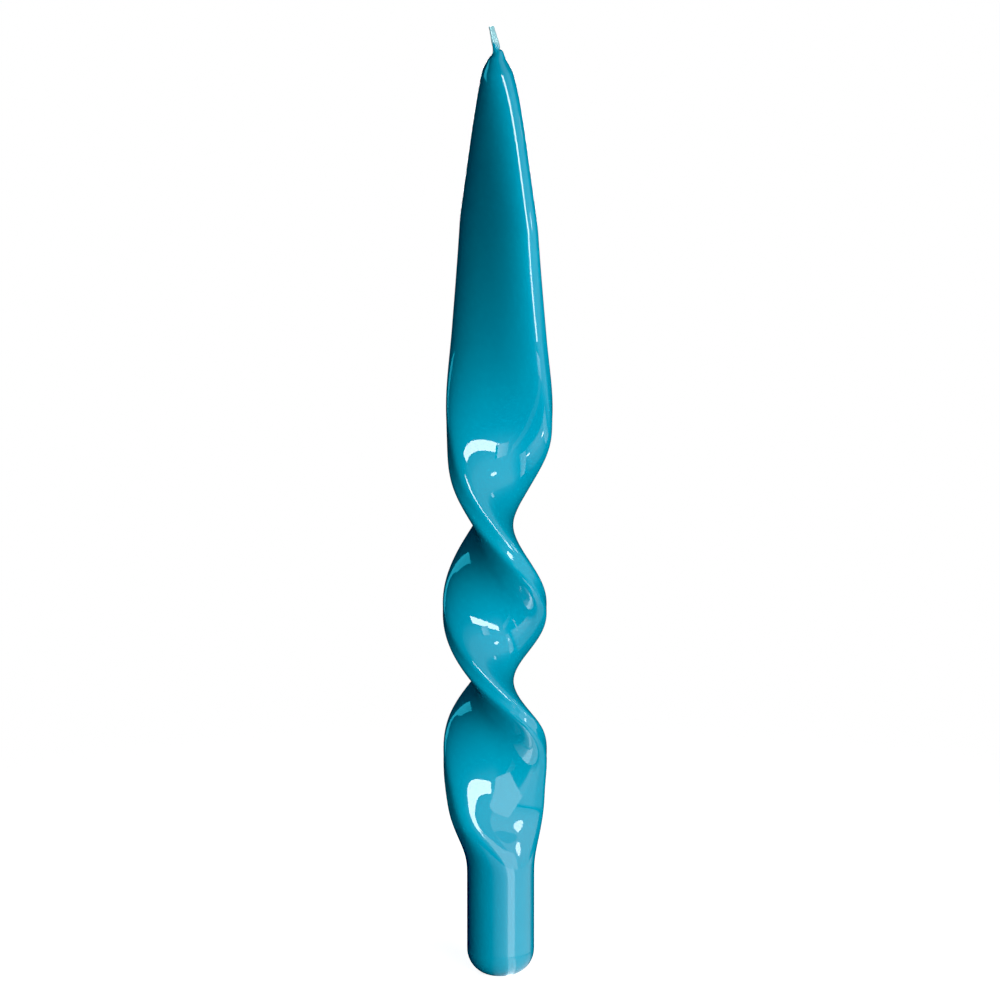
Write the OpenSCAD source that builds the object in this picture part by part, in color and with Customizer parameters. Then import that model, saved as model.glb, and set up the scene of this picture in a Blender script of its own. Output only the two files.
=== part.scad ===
// Twisted taper candle: a dipped taper whose foot stays round, while the rest is rolled flat
// and turned by hand. Wick, wax core, dyed overdip and lacquer are four nested solids, face to face.
// Millimetres, +Z up along the wick, origin at the middle of the base.
// Turns are counted from a flat side that faces -Y.

/* [Stem] */
// Diameter of the round stem that a candlestick's cup takes
stem_d = 21.6; // [20:0.1:24]
// Height of the round stem above the base
stem_h = 32.5; // [22:0.5:38]
// Height of the rounding at the foot
foot_rise = 8; // [4:0.5:12]
// Side reach of the foot's arc, before the base cuts it off
foot_in = 8.5; // [4:0.5:12]
// Angle of the foot's arc at which the base cuts it off
foot_cut = 20; // [10:1:60]

/* [Blade] */
// Height of the wax from the base to the tip, where the wick comes out
body_h = 300; // [270:1:330]
// Height over which the round stem flattens into the blade
blend_h = 26; // [20:1:45]
// Width of the rolled blade
blade_w = 34.6; // [26:0.1:40]
// Thickness of the rolled blade
blade_t = 12.1; // [9:0.1:15]
// Exponent of the blade's section, where 2 is an ellipse and more is squarer
blade_exponent = 2.7; // [2:0.1:5]
// Length below the tip over which the section softens back to an ellipse
soften_h = 93; // [20:1:140]
// Length below the tip over which the blade narrows
taper_h = 55; // [50:1:90]
// Fullness of the narrowing outline, where 1 starts it as a straight line
fullness = 1.19; // [1:0.01:2]
// Bluntness of the tip, where smaller is blunter
bluntness = 0.62; // [0.45:0.01:0.8]
// How late the blade's thickness gives way to its width at the tip, where more is later
roundness = 2; // [1.5:0.1:8]
// Wax left round the wick where each coat ends at the tip
tip_wall = 0.7; // [0.4:0.05:1.2]

/* [Twist] */
// Width of the section in the twist, where turning draws it in
twist_w = 33.1; // [26:0.1:40]
// Thickness of the section in the twist
twist_t = 12; // [9:0.1:15]
// Exponent of the section in the twist
twist_exponent = 3.5; // [2:0.1:5]
// Turn of the blade's flat side at the tip, in degrees
tip_angle = -55; // [-90:1:0]
// Whole turn from the tip down to the stem, in degrees
twist_angle = 449; // [360:1:720]
// Height above the stem at which the turning starts
twist_start = 14.5; // [4:0.5:20]
// Height of the stretch in which it tightens, from the start up
release_h = 39; // [30:0.5:70]
// Height of the stretch in which it slackens again
slacken_h = 76; // [50:0.5:90]
// Height of the stretch in which it eases off towards the blade
ease_h = 48; // [20:0.5:60]
// Height of the last slow stretch, in the blade itself
lead_h = 61; // [20:0.5:80]
// Turning where it starts to ease off, as a share of the tightest
easy_share = 0.69; // [0.3:0.01:0.9]
// Turning where the slow stretch begins, as a share of the tightest
lead_share = 0.15; // [0:0.01:0.3]
// Sideways bow that the hand leaves in the twisted stretch
bow = 1.65; // [0:0.05:3]
// Height of the bowed stretch above the stem
bow_h = 147.5; // [120:0.5:200]
// Length over which the bow comes in above the stem
bow_in_h = 36; // [30:1:60]
// Length over which the bow goes out at its top
bow_out_h = 24; // [20:1:60]
// Sideways place of the tip, left of the stem's middle
tip_offset = 0.75; // [0:0.05:3]
// Sideways nod of the very tip, further left
tip_nod = 0.4; // [0:0.05:2]
// Length over which the tip nods
nod_h = 18; // [10:1:40]

/* [Coats] */
// Thickness of the dyed wax overdip
dip_t = 1; // [0.6:0.1:2]
// Thickness of the gloss lacquer
lacquer_t = 0.3; // [0.2:0.05:0.6]

/* [Wick] */
// Diameter of the braided wick inside the wax
wick_d = 1.6; // [1.2:0.1:2.2]
// Height of the bare wick above the tip
wick_out = 7.4; // [4:0.2:14]
// Width of the bare wick, where it spreads into a flat braid
wick_w = 2.4; // [1.8:0.1:3]
// Length over which the bare wick spreads
wick_spread = 1.2; // [0.8:0.1:3]
// Turn of the flat braid between the tip and its cut end, in degrees
wick_angle = 55; // [0:5:90]
// Sideways reach of the cut end
wick_offset = 1.8; // [0:0.1:4]

/* [Smoothness] */
// Points round each section
sides = 28; // [16:4:32]
// Sections between the stem and the place where the twist eases off
twist_rows = 36; // [24:1:48]
// Sections from there to the place where the blade narrows
blade_rows = 11; // [6:1:16]
// Sections from there to the tip
tip_rows = 10; // [6:1:14]

/* [Hidden] */
$fn = 96;

// Points on the foot's arc, sections of the wick inside the core, and of its bare end
foot_points = 8;
bore_rows = 10;
bare_rows = 6;

// How the blade's sections draw apart on the way up, where 1 is even
opening = 1.5;

// The lofts are let this deep into the true cylinders that they stand on, this far inside their faces
seam_lap = 0.5;
seam_step = 0.02;
loft_r = stem_d / 2 - seam_step;
wick_r = wick_d / 2 - seam_step;

// Inset of the overdip's and the core's outer faces from the candle's skin
dip_in = lacquer_t;
core_in = lacquer_t + dip_t;

// Heights that divide the blade
loft_foot = stem_h - seam_lap;
twist_foot = stem_h + twist_start;
tight_z = twist_foot + release_h;
easy_z = tight_z + slacken_h;
lead_z = easy_z + ease_h;
twist_top = lead_z + lead_h;
wide_z = body_h - taper_h;

// Turning for each millimetre in the tightest place, so that the stretches add up to the whole turn
tight_rate = 2 * twist_angle / (release_h + (1 + easy_share) * slacken_h
    + (easy_share + lead_share) * ease_h + lead_share * lead_h);
easy_rate = easy_share * tight_rate;
lead_rate = lead_share * tight_rate;

// Length of the narrowing outline up to the point where it would close, past the cut tip
taper_run = taper_h / pow(1 - tip_share(0), 1 / fullness);

// Heights at which the core and the overdip end round the wick
core_top = coat_top(core_in);
dip_top = coat_top(dip_in);

// Forms of the candle along its height

function mix(a, b, share) = a + (b - a) * share;

// Rises from 0 to 1 with no kink or change of curvature at either end
function smooth(u) = let (v = min(max(u, 0), 1)) v * v * v * (v * (6 * v - 15) + 10);

function flatness(z) = smooth((z - stem_h) / blend_h);

// Falls from 1, where the blade is full, to 0, where its outline would close
function taper(z) = 1 - pow(min(max((z - wide_z) / taper_run, 0), 1), fullness);

// Taper left where a coat is just wide enough to hold the wick
function tip_share(inset) =
    pow((wick_r + tip_wall + inset) / (blade_w / 2), 1 / bluntness);

function coat_top(inset) = wide_z + taper_run * pow(1 - tip_share(inset), 1 / fullness);

// Rises from 0 in the twist to 1 in the plain blade
function plainness(z) = smooth((z - easy_z) / ease_h);

function full_w(z) = mix(twist_w, blade_w, plainness(z));

function full_t(z) = mix(twist_t, blade_t, plainness(z));

// Half width of the rolled section
function rolled_w(z) = full_w(z) / 2 * pow(taper(z), bluntness);

// Half thickness of the rolled section: full in the blade, and about as much as the width in the round tip
function rolled_t(z) =
    let (full = 1 + pow(full_t(z) / full_w(z), roundness))
    let (left = 1 + pow(full_t(z) / 2 / rolled_w(z), roundness))
    full_t(z) / 2 * pow(full / left, 1 / roundness);

function half_width(z) = mix(loft_r, rolled_w(z), flatness(z));

function half_thick(z) = mix(loft_r, rolled_t(z), flatness(z));

// Exponent of the section at a height: round in the stem, squarer in the blade, an ellipse at the tip
function edge(z) =
    let (rolled = mix(twist_exponent, blade_exponent, plainness(z)))
    mix(2, rolled, flatness(z) * smooth((body_h - z) / soften_h));

// Turn gathered over a drop from the top of a stretch, while its rate goes evenly from r0 to r1
function gathered(drop, stretch, r0, r1) =
    let (d = min(max(drop, 0), stretch)) r0 * d + (r1 - r0) * d * d / (2 * stretch);

// Turn of the section at a height, left-handed and growing on the way down
function turn(z) =
    tip_angle
    + gathered(twist_top - z, lead_h, 0, lead_rate)
    + gathered(lead_z - z, ease_h, lead_rate, easy_rate)
    + gathered(easy_z - z, slacken_h, easy_rate, tight_rate)
    + gathered(tight_z - z, release_h, tight_rate, 0);

// Sideways place of the section's middle
function centre(z) =
    let (up = min(max((z - stem_h) / (body_h - stem_h), 0), 1))
    let (bowed = smooth((z - stem_h) / bow_in_h) * smooth((stem_h + bow_h - z) / bow_out_h))
    let (nodded = smooth((z - body_h + nod_h) / nod_h))
    -tip_offset * up - bow * bowed - tip_nod * nodded;

// Sections

// How far a superellipse reaches at an angle, against a circle of the same half axes
function reach(q, n) = pow(pow(abs(cos(q)), n) + pow(abs(sin(q)), n), -1 / n);

// One closed section: a superellipse of half axes a and b, turned by t about its middle
function section(a, b, n, t, x0, z) =
    [for (i = [0 : sides - 1])
        let (q = 360 * i / sides)
        let (u = a * reach(q, n) * cos(q))
        let (v = b * reach(q, n) * sin(q))
        [x0 + u * cos(t) - v * sin(t), u * sin(t) + v * cos(t), z]];

function ring(z, inset) =
    section(half_width(z) - inset, half_thick(z) - inset, edge(z), turn(z), centre(z), z);

// The wick is round in the wax, and spreads, turns and leans once it is bare
function wick_ring(z) =
    let (bare = max(z - body_h, 0))
    let (a = mix(wick_r, wick_w / 2, smooth(bare / wick_spread)))
    let (t = wick_angle * smooth(bare / wick_out))
    section(a, wick_r * wick_r / a, 2, t, centre(z) - wick_offset * bare / wick_out, z);

// Close together through the twist, further and further apart in the blade, then closer towards the tip
function coat_heights(top) = concat(
    [for (i = [0 : twist_rows]) mix(loft_foot, easy_z, i / twist_rows)],
    [for (i = [1 : blade_rows]) mix(easy_z, wide_z, pow(i / blade_rows, opening))],
    [for (i = [1 : tip_rows]) mix(wide_z, top, sin(90 * i / tip_rows))]);

// Lofts and revolves

// Triangles between two sections
function band(r, s) =
    [for (i = [0 : sides - 1])
        let (j = (i + 1) % sides)
        let (a = r * sides + i)
        let (b = s * sides + i)
        let (c = s * sides + j)
        let (d = r * sides + j)
        each [[a, b, c], [a, c, d]]];

// A solid loft, closed by its first and last sections
module loft(rings) {
    top = len(rings) - 1;
    polyhedron(
        points = [for (ring = rings) each ring],
        faces = concat(
            [[for (i = [0 : sides - 1]) i]],
            [for (r = [0 : top - 1]) each band(r, r + 1)],
            [[for (i = [sides - 1 : -1 : 0]) top * sides + i]]),
        convexity = 10);
}

// Outline of the stem from the base up, set in from the skin
function stem_line(inset) = concat(
    [for (i = [0 : foot_points])
        let (q = mix(foot_cut, 90, i / foot_points))
        [stem_d / 2 - inset - foot_in * (1 - sin(q)), foot_rise * (1 - cos(q) / cos(foot_cut))]],
    [[stem_d / 2 - inset, stem_h]]);

// The candle's form, set in from its skin: a true round stem, and the loft on it up to a height
module form(inset, top) {
    rotate_extrude() polygon(concat([[0, 0]], stem_line(inset), [[0, stem_h]]));
    loft([for (z = coat_heights(top)) ring(z, inset)]);
}

// Sub-parts

// Braided cotton, from the base to the bare, cut end
module wick() {
    color("paleturquoise") {
        cylinder(d = wick_d, h = stem_h);
        loft(concat(
            [for (i = [0 : bore_rows]) wick_ring(mix(loft_foot, body_h, i / bore_rows))],
            [for (i = [1 : bare_rows]) wick_ring(body_h + wick_out * i / bare_rows)]));
    }
}

// Undyed wax, built up on the wick by dipping
module wax_core() {
    color("ivory") difference() {
        form(core_in, core_top);
        wick();
    }
}

// Dyed wax over the core, open at the base
module dyed_overdip() {
    color("darkcyan") difference() {
        form(dip_in, dip_top);
        form(core_in, core_top);
        wick();
    }
}

// Gloss film over the dyed wax, open at the base
module lacquer_coat() {
    color("deepskyblue") difference() {
        form(0, body_h);
        form(dip_in, dip_top);
        wick();
    }
}

wick();
wax_core();
dyed_overdip();
lacquer_coat();
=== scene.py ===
import math

import bmesh
import bpy
from mathutils import Matrix, Vector


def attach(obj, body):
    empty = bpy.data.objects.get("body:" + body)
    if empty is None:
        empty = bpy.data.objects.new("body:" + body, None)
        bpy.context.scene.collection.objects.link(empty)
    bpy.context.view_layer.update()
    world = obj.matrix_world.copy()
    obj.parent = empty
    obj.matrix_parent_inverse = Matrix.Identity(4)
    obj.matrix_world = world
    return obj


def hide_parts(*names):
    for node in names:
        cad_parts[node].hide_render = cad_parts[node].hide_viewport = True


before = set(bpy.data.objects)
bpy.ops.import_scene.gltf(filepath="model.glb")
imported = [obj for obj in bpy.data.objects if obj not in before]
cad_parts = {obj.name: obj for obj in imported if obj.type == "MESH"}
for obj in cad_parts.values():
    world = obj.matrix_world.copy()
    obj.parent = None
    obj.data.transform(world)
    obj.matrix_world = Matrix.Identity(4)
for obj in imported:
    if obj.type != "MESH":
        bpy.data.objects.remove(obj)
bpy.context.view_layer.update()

mm = 0.001


# Wick
# A flat braid of three cotton strands, soaked in wax, that the taper was dipped on: it runs from the base
# to its bare end. Above the wax it spreads flat, turns its narrow side to the front and leans to the left.

# Heights of the candle, and the line of its middle, which the wick follows
stem_h = 32.5 * mm
body_h = 300 * mm
bow = 1.65 * mm
bow_h = 147.5 * mm
bow_in_h = 36 * mm
bow_out_h = 24 * mm
tip_offset = 0.75 * mm
tip_nod = 0.4 * mm
nod_h = 18 * mm

# The wick itself, its strands and the soaked yarn between them
wick_d = 1.6 * mm
wick_out = 7.4 * mm
wick_w = 2.4 * mm
wick_spread = 1.2 * mm
wick_angle = math.radians(55)
wick_offset = 1.8 * mm
strand_r = 0.36 * mm
strand_lift = 1.16 * strand_r
soaked_r = 0.63 * mm
braid_pitch = 5.2 * mm
braid_step = 0.35 * mm
fibre_w = 0.25 * mm
stain_from = 0.4 * mm
stain_to = 2.4 * mm

wick_top = body_h + wick_out
braid_rows = round(wick_top / braid_step)


def mix(a, b, share):
    return a + (b - a) * share


def smooth(u):
    """Rises from 0 to 1 with no kink or change of curvature at either end."""
    v = min(max(u, 0), 1)
    return v ** 3 * (v * (6 * v - 15) + 10)


def centre(z):
    """Sideways place of the candle's middle at a height."""
    up = min(max((z - stem_h) / (body_h - stem_h), 0), 1)
    bowed = smooth((z - stem_h) / bow_in_h) * smooth((stem_h + bow_h - z) / bow_out_h)
    nodded = smooth((z - body_h + nod_h) / nod_h)
    return -tip_offset * up - bow * bowed - tip_nod * nodded


def show(name, mesh, finish):
    """Puts a finished mesh into the scene at the origin."""
    mesh.materials.append(finish)
    piece = bpy.data.objects.new(name, mesh)
    bpy.context.scene.collection.objects.link(piece)
    return piece


def linear(hex_colour):
    """Linear RGBA of an sRGB hex colour."""
    channels = [int(hex_colour[i:i + 2], 16) / 255 for i in (1, 3, 5)]
    return [c / 12.92 if c <= 0.04045 else ((c + 0.055) / 1.055) ** 2.4 for c in channels] + [1]


def add(tree, kind, inputs, **settings):
    """Adds a node with its settings, its values and its links."""
    node = tree.nodes.new(kind)
    for name, value in settings.items():
        setattr(node, name, value)
    for socket, value in inputs.items():
        if isinstance(value, bpy.types.NodeSocket):
            tree.links.new(value, node.inputs[socket])
        else:
            node.inputs[socket].default_value = value
    return node


def blank(name):
    """A new material with an empty node tree."""
    finish = bpy.data.materials.new(name)
    finish.use_nodes = True
    finish.node_tree.nodes.clear()
    return finish, finish.node_tree


# Waxed cotton: fine twisted fibres under a film of wax, paler towards the cut end and stained at the tip.
waxed_cotton, tree = blank("waxed_cotton")
place = add(tree, "ShaderNodeTexCoord", {})
fibres = add(tree, "ShaderNodeMapping", {"Vector": place.outputs["Object"], "Scale": (1, 1, 0.15)})
yarn = add(tree, "ShaderNodeTexNoise", {"Vector": fibres.outputs[0], "Scale": 1 / fibre_w, "Detail": 3})
tint = add(tree, "ShaderNodeMix", {
    "Factor": yarn.outputs[0], 6: linear("#6fb9c2"), 7: linear("#a8d8de")}, data_type="RGBA")
axes = add(tree, "ShaderNodeSeparateXYZ", {"Vector": place.outputs["Object"]})
soaked = add(tree, "ShaderNodeMapRange", {
    0: axes.outputs["Z"], 1: body_h + stain_from, 2: body_h + stain_to, 3: 1, 4: 0})
stained = add(tree, "ShaderNodeMix", {
    "Factor": soaked.outputs[0], 6: tint.outputs[2], 7: linear("#2d9db2")}, data_type="RGBA")
nap = add(tree, "ShaderNodeBump", {"Height": yarn.outputs[0], "Strength": 0.35, "Distance": 0.05 * mm})
cotton = add(tree, "ShaderNodeBsdfPrincipled", {
    "Base Color": stained.outputs[2], "Roughness": 0.45, "IOR": 1.45, "Coat Weight": 0.5,
    "Coat Roughness": 0.15, "Normal": nap.outputs[0]})
add(tree, "ShaderNodeOutputMaterial", {"Surface": cotton.outputs[0]})


def braid_halves(z):
    """Half width and half thickness of the braid at a height: round in the wax, flat where it is bare."""
    half_w = mix(wick_d, wick_w, smooth((z - body_h) / wick_spread)) / 2
    return half_w, wick_d ** 2 / (4 * half_w)


def plaited(z, strand):
    """Place of one of the three strands across the braid at a height."""
    lap = math.tau * (z / braid_pitch + strand / 3)
    sway = braid_halves(z)[0] - strand_r
    return sway * math.sin(lap), strand_lift * math.sin(2 * lap)


def filled(z, side):
    """Place across the braid of the soaked yarn that fills it between the strands."""
    return side * (braid_halves(z)[0] - soaked_r), 0


braid = bpy.data.curves.new("wick_strands", "CURVE")
braid.dimensions = "3D"
braid.bevel_depth = strand_r
braid.bevel_resolution = 2
braid.use_fill_caps = True
for radius, across, lines in ((strand_r, plaited, (0, 1, 2)), (soaked_r, filled, (-1, 0, 1))):
    for which in lines:
        line = braid.splines.new("POLY")
        line.points.add(braid_rows)
        for i, point in enumerate(line.points):
            z = wick_top * i / braid_rows
            point.co = (*across(z, which), z, 1)
            point.radius = radius / strand_r
strands = bpy.data.objects.new("wick_strands", braid)
wick_mesh = bpy.data.meshes.new_from_object(strands)
bpy.data.objects.remove(strands)
for vert in wick_mesh.vertices:
    u, v, z = vert.co
    z = min(max(z, 0), wick_top)
    v *= braid_halves(z)[1] / (strand_r + strand_lift)
    bare = max(z - body_h, 0) / wick_out
    t = wick_angle * smooth(bare)
    x = centre(z) - wick_offset * bare
    vert.co = (x + u * math.cos(t) - v * math.sin(t), u * math.sin(t) + v * math.cos(t), z)
for face in wick_mesh.polygons:
    face.use_smooth = True
wick = show("braided_wick", wick_mesh, waxed_cotton)
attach(wick, "root")
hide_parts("wick")


# Wax core
# Undyed wax that was built up on the wick by dipping, rolled flat while it was warm and turned by hand.
# The coats over it hide it, except on the trimmed base.

# The round stem and the rounding at its foot
stem_d = 21.6 * mm
foot_rise = 8 * mm
foot_in = 8.5 * mm
foot_cut = math.radians(20)

# The rolled blade, and how it narrows to the tip
blend_h = 26 * mm
blade_w = 34.6 * mm
blade_t = 12.1 * mm
blade_exponent = 2.7
soften_h = 93 * mm
taper_h = 55 * mm
fullness = 1.19
bluntness = 0.62
roundness = 2
tip_wall = 0.7 * mm

# The last stretch of the tip, which is drawn in towards the wick
pinch_z = 293 * mm
pinch_h = 5.6 * mm
pinch_share = 0.3
pinch_power = 1.3

# The twist, which tightens above the stem, slackens, and eases off in the blade
twist_w = 33.1 * mm
twist_t = 12 * mm
twist_exponent = 3.5
tip_angle = math.radians(-55)
twist_angle = math.radians(449)
twist_start = 14.5 * mm
release_h = 39 * mm
slacken_h = 76 * mm
ease_h = 48 * mm
lead_h = 61 * mm
easy_share = 0.69
lead_share = 0.15

# Thickness of the two coats over the core
dip_t = 1 * mm
lacquer_t = 0.3 * mm

twist_foot = stem_h + twist_start
tight_z = twist_foot + release_h
easy_z = tight_z + slacken_h
lead_z = easy_z + ease_h
twist_top = lead_z + lead_h
tight_rate = 2 * twist_angle / (
    release_h + (1 + easy_share) * slacken_h + (easy_share + lead_share) * ease_h + lead_share * lead_h)
easy_rate = easy_share * tight_rate
lead_rate = lead_share * tight_rate
wide_z = body_h - taper_h
tip_share = ((wick_d / 2 + tip_wall) / (blade_w / 2)) ** (1 / bluntness)
taper_run = taper_h / (1 - tip_share) ** (1 / fullness)
crease = math.radians(50)
weld_gap = 0.0001 * mm
cloud_w = 3 * mm


def gathered(drop, stretch, r0, r1):
    """Turn gathered over a drop from the top of a stretch, while its rate goes evenly from r0 to r1."""
    d = min(max(drop, 0), stretch)
    return r0 * d + (r1 - r0) * d * d / (2 * stretch)


def turn(z):
    """Turn of the section at a height, left-handed and growing on the way down."""
    return (tip_angle + gathered(twist_top - z, lead_h, 0, lead_rate)
            + gathered(lead_z - z, ease_h, lead_rate, easy_rate)
            + gathered(easy_z - z, slacken_h, easy_rate, tight_rate)
            + gathered(tight_z - z, release_h, tight_rate, 0))


def coat_top(inset):
    """Height at which a coat is just wide enough to hold the wick."""
    share = ((wick_d / 2 + tip_wall + inset) / (blade_w / 2)) ** (1 / bluntness)
    return wide_z + taper_run * (1 - share) ** (1 / fullness)


def ring(z, inset):
    """Section of the candle at a height: half width, half thickness, exponent, turn, middle, height, tilt."""
    flat = smooth((z - stem_h) / blend_h)
    taper = 1 - min(max((z - wide_z) / taper_run, 0), 1) ** fullness
    plain = smooth((z - easy_z) / ease_h)
    full_w = mix(twist_w, blade_w, plain)
    full_t = mix(twist_t, blade_t, plain)
    rolled_w = full_w / 2 * taper ** bluntness
    left = (1 + (full_t / full_w) ** roundness) / (1 + (full_t / 2 / rolled_w) ** roundness)
    rolled_t = full_t / 2 * left ** (1 / roundness)
    drawn = 1 - pinch_share * max((z - pinch_z) / pinch_h, 0) ** pinch_power
    rise = math.cos(foot_cut) * (1 - min(z / foot_rise, 1))
    foot = foot_in * (1 - math.sqrt(1 - rise * rise))
    a = mix(stem_d / 2, rolled_w, flat) * drawn - inset - foot
    b = mix(stem_d / 2, rolled_t, flat) * drawn - inset - foot
    rolled = mix(twist_exponent, blade_exponent, plain)
    return a, b, mix(2, rolled, flat * smooth((body_h - z) / soften_h)), turn(z), centre(z), z, 0


def bore(z):
    """Section of the hole that the wick fills."""
    return wick_d / 2, wick_d / 2, 2, 0, centre(z), z, 0


def heights(top, foot_rows, stem_rows, twist_rows, tip_rows):
    """Heights of a coat's sections, closest together round the foot and towards the tip."""
    arc = [mix(foot_cut, math.pi / 2, i / foot_rows) for i in range(foot_rows)]
    return ([foot_rise * (1 - math.cos(q) / math.cos(foot_cut)) for q in arc]
            + [mix(foot_rise, stem_h, i / stem_rows) for i in range(stem_rows)]
            + [mix(stem_h, wide_z, i / twist_rows) for i in range(twist_rows)]
            + [mix(wide_z, top, math.sin(math.pi / 2 * i / tip_rows)) for i in range(tip_rows + 1)])


def coat(name, rings, around):
    """A closed wall: a grid, rolled round sections that run up the outside, over the tip and down inside."""
    bm = bmesh.new()
    bmesh.ops.create_grid(bm, x_segments=around, y_segments=len(rings), size=0.5)
    for vert in bm.verts:
        q = math.tau * (vert.co.x + 0.5)
        a, b, n, t, x0, z, tilt = rings[round((vert.co.y + 0.5) * len(rings)) % len(rings)]
        reach = (abs(math.cos(q)) ** n + abs(math.sin(q)) ** n) ** (-1 / n)
        u = a * reach * math.cos(q)
        v = b * reach * math.sin(q)
        x = u * math.cos(t) - v * math.sin(t)
        vert.co = (x0 + x, u * math.sin(t) + v * math.cos(t), z + tilt * x)
    bmesh.ops.remove_doubles(bm, verts=bm.verts, dist=weld_gap)
    bmesh.ops.recalc_face_normals(bm, faces=bm.faces)
    for face in bm.faces:
        face.smooth = True
    mesh = bpy.data.meshes.new(name)
    bm.to_mesh(mesh)
    bm.free()
    mesh.set_sharp_from_angle(angle=crease)
    return mesh


# Paraffin: ivory, satin where it was trimmed, slightly see-through and clouded by tiny bubbles.
paraffin, tree = blank("trimmed_paraffin")
place = add(tree, "ShaderNodeTexCoord", {})
clouds = add(tree, "ShaderNodeTexNoise", {
    "Vector": place.outputs["Object"], "Scale": 1 / cloud_w, "Detail": 4})
tint = add(tree, "ShaderNodeMix", {
    "Factor": clouds.outputs[0], 6: linear("#e6dfcd"), 7: linear("#f4f0e4")}, data_type="RGBA")
scrape = add(tree, "ShaderNodeBump", {"Height": clouds.outputs[0], "Strength": 0.3, "Distance": 0.05 * mm})
wax = add(tree, "ShaderNodeBsdfPrincipled", {
    "Base Color": tint.outputs[2], "Roughness": 0.42, "IOR": 1.43, "Subsurface Weight": 0.25,
    "Subsurface Radius": (1, 0.8, 0.5), "Subsurface Scale": 2 * mm, "Normal": scrape.outputs[0]})
add(tree, "ShaderNodeOutputMaterial", {"Surface": wax.outputs[0]})

core_inset = lacquer_t + dip_t
core_top = coat_top(core_inset)
core_rows = heights(core_top, foot_rows=6, stem_rows=6, twist_rows=120, tip_rows=30)
core_rings = [ring(z, core_inset) for z in core_rows] + [bore(z) for z in reversed(core_rows)]
core = show("wax_core_body", coat("wax_core_body", core_rings, around=48), paraffin)
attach(core, "root")
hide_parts("wax_core")


# Dyed overdip
# One dip in strongly dyed turquoise wax, about a millimetre thick, which gives the candle its colour.
# It lies on the core all over and shows as a ring on the trimmed base.

streak_w = 4 * mm

# Dyed paraffin: the same wax, deep turquoise, with streaks where the dye set unevenly.
dyed_paraffin, tree = blank("dyed_paraffin")
place = add(tree, "ShaderNodeTexCoord", {})
streaks = add(tree, "ShaderNodeTexNoise", {
    "Vector": place.outputs["Object"], "Scale": 1 / streak_w, "Detail": 3})
tint = add(tree, "ShaderNodeMix", {
    "Factor": streaks.outputs[0], 6: linear("#00708a"), 7: linear("#0089a2")}, data_type="RGBA")
wax = add(tree, "ShaderNodeBsdfPrincipled", {
    "Base Color": tint.outputs[2], "Roughness": 0.4, "IOR": 1.43, "Subsurface Weight": 0.15,
    "Subsurface Radius": (0.3, 0.9, 1), "Subsurface Scale": 1 * mm})
add(tree, "ShaderNodeOutputMaterial", {"Surface": wax.outputs[0]})

dip_top = coat_top(lacquer_t)
dip_rows = heights(dip_top, foot_rows=6, stem_rows=6, twist_rows=150, tip_rows=30)
dip_rings = ([ring(z, lacquer_t) for z in dip_rows]
             + [bore(z) for z in (dip_top, core_top)]
             + [ring(z, core_inset) for z in reversed(core_rows)])
dip = show("dyed_overdip_body", coat("dyed_overdip_body", dip_rings, around=64), dyed_paraffin)
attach(dip, "root")
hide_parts("dyed_overdip")


# Lacquer coat
# A film of turquoise gloss lacquer over the dyed wax, from a last dip with the wick upwards. It covered
# all but the base, drew up the left of the wick in a meniscus, and left a shoulder on its right.

lip_drop = 2.8 * mm
dye_w = 28 * mm
ripple_w = 7 * mm
# Half axes, turn in degrees, middle, height and tilt of the sections round the wick: a shoulder that is
# higher on the right, then the meniscus that climbs the left of the braid. Lengths in millimetres.
lip = [
    (2.45, 2.4, -48, -0.96, 297.7, 0),
    (2.15, 2.13, -40, -0.9, 298.15, 0.02),
    (1.93, 1.9, -31, -0.85, 298.5, 0.06),
    (1.76, 1.68, -22, -0.88, 298.9, 0.13),
    (1.6, 1.45, -14, -0.95, 299.25, 0.19),
    (1.44, 1.22, -7, -1.04, 299.6, 0.2),
    (1.32, 1, -2, -1.16, 299.95, 0),
    (1.27, 0.84, 2, -1.28, 300.35, -0.5),
    (1.25, 0.72, 5, -1.38, 300.85, -0.95),
    (1.2, 0.66, 7, -1.48, 301.4, -1.25),
    (0.7, 0.5, 7, -1.45, 301, -1.25)]

# Gloss lacquer over dyed wax: a clear, mirror-smooth film on a strong blue-green with hardly any red in it.
lacquer, tree = blank("turquoise_gloss_lacquer")
place = add(tree, "ShaderNodeTexCoord", {})
dye = add(tree, "ShaderNodeTexNoise", {
    "Vector": place.outputs["Object"], "Scale": 1 / dye_w, "Detail": 2})
tint = add(tree, "ShaderNodeMix", {
    "Factor": dye.outputs[0], 6: linear("#009cbe"), 7: linear("#00a8c2")}, data_type="RGBA")
peel = add(tree, "ShaderNodeTexNoise", {
    "Vector": place.outputs["Object"], "Scale": 1 / ripple_w, "Detail": 1})
ripple = add(tree, "ShaderNodeBump", {"Height": peel.outputs[0], "Strength": 0.05, "Distance": 0.1 * mm})
film = add(tree, "ShaderNodeBsdfPrincipled", {
    "Base Color": tint.outputs[2], "Roughness": 0.4, "IOR": 1.43, "Specular IOR Level": 0, "Coat Weight": 1,
    "Coat Roughness": 0.02, "Coat IOR": 1.5, "Coat Normal": ripple.outputs[0]})
add(tree, "ShaderNodeOutputMaterial", {"Surface": film.outputs[0]})

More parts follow.
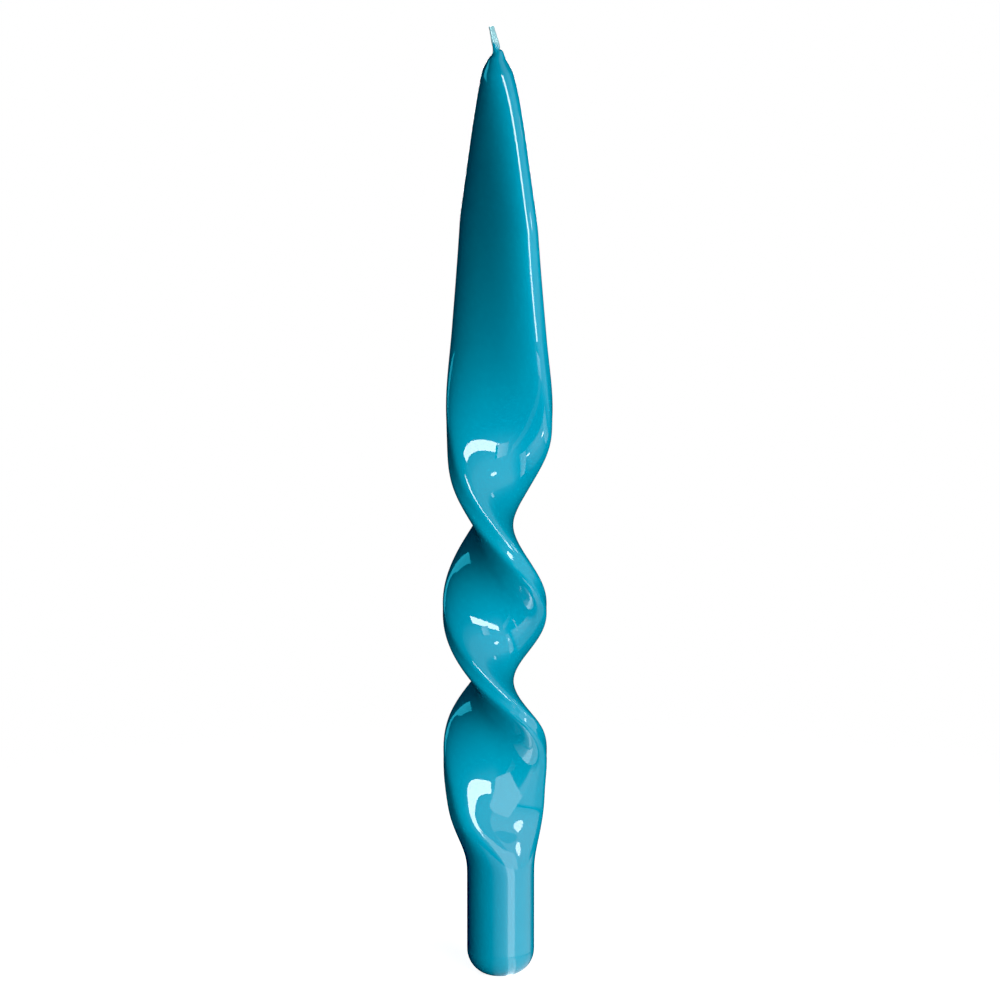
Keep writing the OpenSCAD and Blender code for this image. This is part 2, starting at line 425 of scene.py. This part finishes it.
skin_rows = heights(body_h - lip_drop, foot_rows=14, stem_rows=20, twist_rows=320, tip_rows=110)
inner_rows = heights(dip_top, foot_rows=6, stem_rows=6, twist_rows=60, tip_rows=20)
skin_rings = ([ring(z, 0) for z in skin_rows]
              + [(a * mm, b * mm, 2, math.radians(t), x * mm, z * mm, tilt) for a, b, t, x, z, tilt in lip]
              + [bore(z) for z in (body_h, dip_top)]
              + [ring(z, lacquer_t) for z in reversed(inner_rows)])
skin = show("lacquer_skin", coat("lacquer_skin", skin_rings, around=128), lacquer)
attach(skin, "root")
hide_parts("lacquer_coat")


# Studio floor and surround
# A pale tabletop, white to the camera apart from the candle's shadow, inside a tent of cloth that glows with
# painted light, dark on the left and bright on the right. A low rim of card with a painted glow stands round
# the stem. The table is polished in front, and glows with painted light in a patch inside the rim, in a band
# on the right and far out. Only the gloss shows all this.

floor_r = 1.5
floor_glow = 0.86
fade_from = 0.12
fade_to = 0.34
patch_from = 0.026
patch_to = 0.034
patch_share = 0.7
rim_r = 0.032
rim_h = 0.035
band_from = 0.05
band_full = 0.0675
band_fade = 0.15
band_to = 0.2
far_from = 0.2
far_to = 0.42
tent_r = 1.45
tent_h = 2.4
tent_eye = 0.002
# Brightness of the painted glow by bearing in degrees, 0 being towards the camera and 90 to the right
rim_painted_light = [
    (-28, 0), (-22, 0.1), (-12, 0.45), (0, 0.75), (8, 1), (17, 1.7), (20, 2.1), (23, 4.8), (40, 4.8), (43, 2),
    (70, 1.7), (90, 1.5), (105, 0.9), (120, 0)]
band_painted_light = [(48, 0), (54, 1.8), (62, 1.4), (75, 1.2), (86, 0.6), (95, 0.5), (110, 0.4), (122, 0)]
cloth_painted_light = [(0, 0), (20, 0.25), (38, 0.5), (56, 0.9), (86, 0.9), (98, 0.3), (118, 0)]
polish = [(-60, 0), (-45, 1), (44, 1), (56, 0)]


def lit_by_bearing(tree, light):
    """Adds nodes that give the brightness of a surface round the candle by its bearing."""
    place = add(tree, "ShaderNodeTexCoord", {})
    swung = add(tree, "ShaderNodeMapping", {
        "Vector": place.outputs["Object"], "Rotation": (0, 0, math.pi / 2)})
    axes = add(tree, "ShaderNodeSeparateXYZ", {"Vector": swung.outputs[0]})
    bearing = add(tree, "ShaderNodeMath", {0: axes.outputs["Y"], 1: axes.outputs["X"]}, operation="ARCTAN2")
    share = add(tree, "ShaderNodeMapRange", {0: bearing.outputs[0], 1: -math.pi, 2: math.pi})
    brightest = max(level for _, level in light)
    curve = add(tree, "ShaderNodeFloatCurve", {"Value": share.outputs[0]})
    points = curve.mapping.curves[0].points
    for end in points:
        end.location.y = 0
    for degrees, level in light:
        points.new(0.5 + degrees / 360, level / brightest)
    curve.mapping.update()
    scaled = add(tree, "ShaderNodeMath", {0: curve.outputs[0], 1: brightest}, operation="MULTIPLY")
    return scaled.outputs[0]


# Pale board: to the camera it is matt and fades into the white backdrop, and the gloss shows it as a dark
# table that glows with painted light in places, in place of lamp light falling on it.
tabletop, tree = blank("pale_tabletop")
ray = add(tree, "ShaderNodeLightPath", {})
place = add(tree, "ShaderNodeTexCoord", {})
reach = add(tree, "ShaderNodeVectorMath", {0: place.outputs["Object"]}, operation="LENGTH").outputs["Value"]
board = add(tree, "ShaderNodeBsdfPrincipled", {
    "Base Color": linear("#d8d8d6"), "Roughness": 0.5, "IOR": 1.5})
matte = add(tree, "ShaderNodeBsdfDiffuse", {"Color": linear("#d8d8d6")})
glow = add(tree, "ShaderNodeEmission", {"Color": linear("#ffffff"), "Strength": floor_glow})
white = add(tree, "ShaderNodeAddShader", {0: matte.outputs[0], 1: glow.outputs[0]})
faded = add(tree, "ShaderNodeMapRange", {0: reach, 1: fade_from, 2: fade_to}, interpolation_type="SMOOTHSTEP")
clear = add(tree, "ShaderNodeBsdfTransparent", {})
top = add(tree, "ShaderNodeMixShader", {0: faded.outputs[0], 1: white.outputs[0], 2: clear.outputs[0]})
patch = add(tree, "ShaderNodeMapRange", {
    0: reach, 1: patch_from, 2: patch_to, 3: patch_share, 4: 0}, interpolation_type="SMOOTHSTEP")
begun = add(tree, "ShaderNodeMapRange", {
    0: reach, 1: band_from, 2: band_full}, interpolation_type="SMOOTHSTEP")
ended = add(tree, "ShaderNodeMapRange", {
    0: reach, 1: band_fade, 2: band_to, 3: 1, 4: 0}, interpolation_type="SMOOTHSTEP")
band = add(tree, "ShaderNodeMath", {0: begun.outputs[0], 1: ended.outputs[0]}, operation="MULTIPLY")
far = add(tree, "ShaderNodeMapRange", {0: reach, 1: far_from, 2: far_to}, interpolation_type="SMOOTHSTEP")
level = 0
for light, share in ((rim_painted_light, patch), (band_painted_light, band), (cloth_painted_light, far)):
    level = add(tree, "ShaderNodeMath", {
        0: lit_by_bearing(tree, light), 1: share.outputs[0], 2: level}, operation="MULTIPLY_ADD").outputs[0]
# Painted light: the table glows in a patch, a band and far out, as if lamps fell on it there.
painted_table_light = add(tree, "ShaderNodeEmission", {"Color": linear("#f4faff"), "Strength": level})
dull = add(tree, "ShaderNodeBsdfDiffuse", {"Color": linear("#000000")})
polished = add(tree, "ShaderNodeBsdfPrincipled", {
    "Base Color": linear("#000000"), "Roughness": 0.06, "IOR": 1.2})
sheen = add(tree, "ShaderNodeMixShader", {
    0: lit_by_bearing(tree, polish), 1: dull.outputs[0], 2: polished.outputs[0]})
gloss = add(tree, "ShaderNodeAddShader", {0: painted_table_light.outputs[0], 1: sheen.outputs[0]})
mirrored = add(tree, "ShaderNodeMath", {
    0: ray.outputs["Is Glossy Ray"], 1: ray.outputs["Is Transmission Ray"]}, operation="MAXIMUM")
shown = add(tree, "ShaderNodeMixShader", {0: mirrored.outputs[0], 1: board.outputs[0], 2: gloss.outputs[0]})
seen = add(tree, "ShaderNodeMixShader", {
    0: ray.outputs["Is Camera Ray"], 1: shown.outputs[0], 2: top.outputs[0]})
add(tree, "ShaderNodeOutputMaterial", {"Surface": seen.outputs[0]})

bm = bmesh.new()
bmesh.ops.create_circle(bm, cap_ends=True, segments=96, radius=floor_r)
floor_mesh = bpy.data.meshes.new("tabletop")
bm.to_mesh(floor_mesh)
bm.free()
floor = show("tabletop", floor_mesh, tabletop)


def show_in_gloss(name, bm, finish):
    """Puts a lit sheet into the studio that only the gloss shows."""
    mesh = bpy.data.meshes.new(name)
    bm.to_mesh(mesh)
    bm.free()
    sheet = show(name, mesh, finish)
    sheet.visible_camera = False
    sheet.visible_diffuse = False
    sheet.visible_transmission = False
    sheet.visible_shadow = False


# The tent and the low rim glow with painted light, brighter on the right, in place of lamp light on them.
for name, profile, light in (
        ("tent", [(tent_r, 0, 0), (tent_r, 0, tent_h), (tent_eye, 0, tent_h)], cloth_painted_light),
        ("low_rim", [(rim_r, 0, 0), (rim_r, 0, rim_h)], rim_painted_light)):
    cloth, tree = blank(name)
    painted_cloth_glow = add(tree, "ShaderNodeEmission", {
        "Color": linear("#f4faff"), "Strength": lit_by_bearing(tree, light)})
    add(tree, "ShaderNodeOutputMaterial", {"Surface": painted_cloth_glow.outputs[0]})
    bm = bmesh.new()
    verts = [bm.verts.new(corner) for corner in profile]
    edges = [bm.edges.new(pair) for pair in zip(verts, verts[1:])]
    bmesh.ops.spin(bm, geom=verts + edges, axis=(0, 0, 1), angle=math.tau, steps=64, use_merge=True)
    show_in_gloss(name, bm, cloth)

world = bpy.data.worlds.new("studio")
bpy.context.scene.world = world
world.use_nodes = True
tree = world.node_tree
tree.nodes.clear()
ray = add(tree, "ShaderNodeLightPath", {})
mirrored = add(tree, "ShaderNodeMath", {
    0: ray.outputs["Is Glossy Ray"], 1: ray.outputs["Is Transmission Ray"]}, operation="MAXIMUM")
direct = add(tree, "ShaderNodeMath", {
    0: ray.outputs["Is Camera Ray"], 1: mirrored.outputs[0]}, operation="MAXIMUM")
room = add(tree, "ShaderNodeBackground", {"Color": linear("#c8dcff"), "Strength": 0.1})
backdrop = add(tree, "ShaderNodeBackground", {"Color": linear("#ffffff"), "Strength": 1})
sky = add(tree, "ShaderNodeMixShader", {0: direct.outputs[0], 1: room.outputs[0], 2: backdrop.outputs[0]})
add(tree, "ShaderNodeOutputWorld", {"Surface": sky.outputs[0]})


# Lamps
# One broad soft light from the front right and a strip behind the candle give the colour. The gloss shows a
# tall white panel that leans back and to the left, two small lamps on the right, a turquoise cloth on the
# left, and cards close by: a high one under a black flag, two low ones, and a lit disc before the right one.
# The cloth and the cards are no lamps: they glow with painted light, some brighter towards their top.


def softbox(name, bearing, distance, low, high, width, radiance):
    """An area lamp on a bearing from the candle, between two heights, whose brightness is its radiance."""
    lamp = bpy.data.lights.new(name, "AREA")
    lamp.shape = "RECTANGLE"
    lamp.size = width
    lamp.size_y = high - low
    lamp.energy = radiance * math.pi * lamp.size * lamp.size_y
    away = Vector((math.sin(math.radians(bearing)), -math.cos(math.radians(bearing)), 0))
    facing = (-away).to_track_quat("-Z", "Y").to_matrix().to_4x4()
    box = bpy.data.objects.new(name, lamp)
    box.matrix_world = Matrix.Translation(away * distance + Vector((0, 0, (low + high) / 2))) @ facing
    box.visible_camera = False
    bpy.context.scene.collection.objects.link(box)
    return box


soft_light = softbox("soft_light", bearing=31, distance=1.2, low=0.02, high=0.52, width=0.9, radiance=10.2)
soft_light.visible_glossy = False
softbox("back_strip", bearing=180, distance=1.2, low=0.05, high=0.75, width=0.28, radiance=10)


def panel(name, bearing, low_light, high_light, low, high, colour="#ffffff", disc=False):
    """A lit panel or disc across a bearing. Its low and its high edge each have a distance from the candle,
    a place to the right of the bearing, a height and a width."""
    finish, tree = blank(name)
    place = add(tree, "ShaderNodeTexCoord", {})
    axes = add(tree, "ShaderNodeSeparateXYZ", {"Vector": place.outputs["Object"]})
    level = add(tree, "ShaderNodeMapRange", {
        0: axes.outputs["Z"], 1: low[2], 2: high[2], 3: low_light, 4: high_light})
    glow = add(tree, "ShaderNodeEmission", {"Color": linear(colour), "Strength": level.outputs[0]})
    add(tree, "ShaderNodeOutputMaterial", {"Surface": glow.outputs[0]})
    away = Vector((math.sin(math.radians(bearing)), -math.cos(math.radians(bearing)), 0))
    along = Vector((math.cos(math.radians(bearing)), math.sin(math.radians(bearing)), 0))
    bm = bmesh.new()
    if disc:
        bmesh.ops.create_circle(bm, cap_ends=True, segments=48, radius=0.5)
    else:
        bmesh.ops.create_grid(bm, x_segments=1, y_segments=1, size=0.5)
    for vert in bm.verts:
        distance, aside, height, width = (mix(a, b, vert.co.y + 0.5) for a, b in zip(low, high))
        vert.co = away * distance + along * (aside + width * vert.co.x) + Vector((0, 0, height))
    show_in_gloss(name, bm, finish)


panel("key_panel", bearing=6.5, low_light=16, high_light=16,
      low=(0.403, 0.242, 0.0435, 0.115), high=(1.232, 0.0285, 1.118, 0.382))
panel("side_panel", bearing=69, low_light=14, high_light=14,
      low=(0.98, 0, 0.15, 0.1), high=(0.98, 0, 0.33, 0.1), disc=True)
panel("edge_panel", bearing=99, low_light=4, high_light=4,
      low=(0.98, 0, 0.425, 0.12), high=(0.98, 0, 0.49, 0.12))
# Painted light: the cloth and the cards below glow in place of lamp light falling on them.
panel("left_cloth", bearing=-112, low_light=4.5, high_light=6,
      low=(1.2, 0, 0.25, 0.45), high=(1.2, 0, 0.75, 0.45), colour="#30d0ec")
panel("high_card", bearing=34.5, low_light=1.8, high_light=4,
      low=(0.1, 0, 0.14, 0.0335), high=(0.1, 0, 0.166, 0.0335))
panel("flag", bearing=34.5, low_light=0, high_light=0,
      low=(0.1, 0, 0.166, 0.0335), high=(0.1, 0, 0.171, 0.0335))
panel("low_card", bearing=42, low_light=3.3, high_light=3.3,
      low=(0.118, 0, 0, 0.077), high=(0.06, 0, 0.057, 0.039))
panel("right_card", bearing=78, low_light=0.9, high_light=2,
      low=(0.22, 0, 0, 0.2), high=(0.1, 0, 0.08, 0.09))
panel("egg_card", bearing=68, low_light=14, high_light=14,
      low=(0.119, 0, 0.062, 0.0105), high=(0.097, 0, 0.0765, 0.0105), disc=True)


# Camera
# About 12 degrees above level and two metres away, on a long lens, as the candle was photographed.

view_rise = math.radians(12.16)
view_distance = 1.916
view_across = 0.3177
view_middle = Vector((-0.0002, 0, 0.1559))

eye = bpy.data.cameras.new("camera")
eye.sensor_width = 36
eye.lens = eye.sensor_width * view_distance / view_across
eye.clip_end = 20
camera = bpy.data.objects.new("camera", eye)
back = Vector((0, -math.cos(view_rise), math.sin(view_rise)))
camera.location = view_middle + back * view_distance
camera.rotation_euler = (-back).to_track_quat("-Z", "Y").to_euler()
bpy.context.scene.collection.objects.link(camera)
bpy.context.scene.camera = camera
bpy.context.scene.view_settings.view_transform = "Standard"
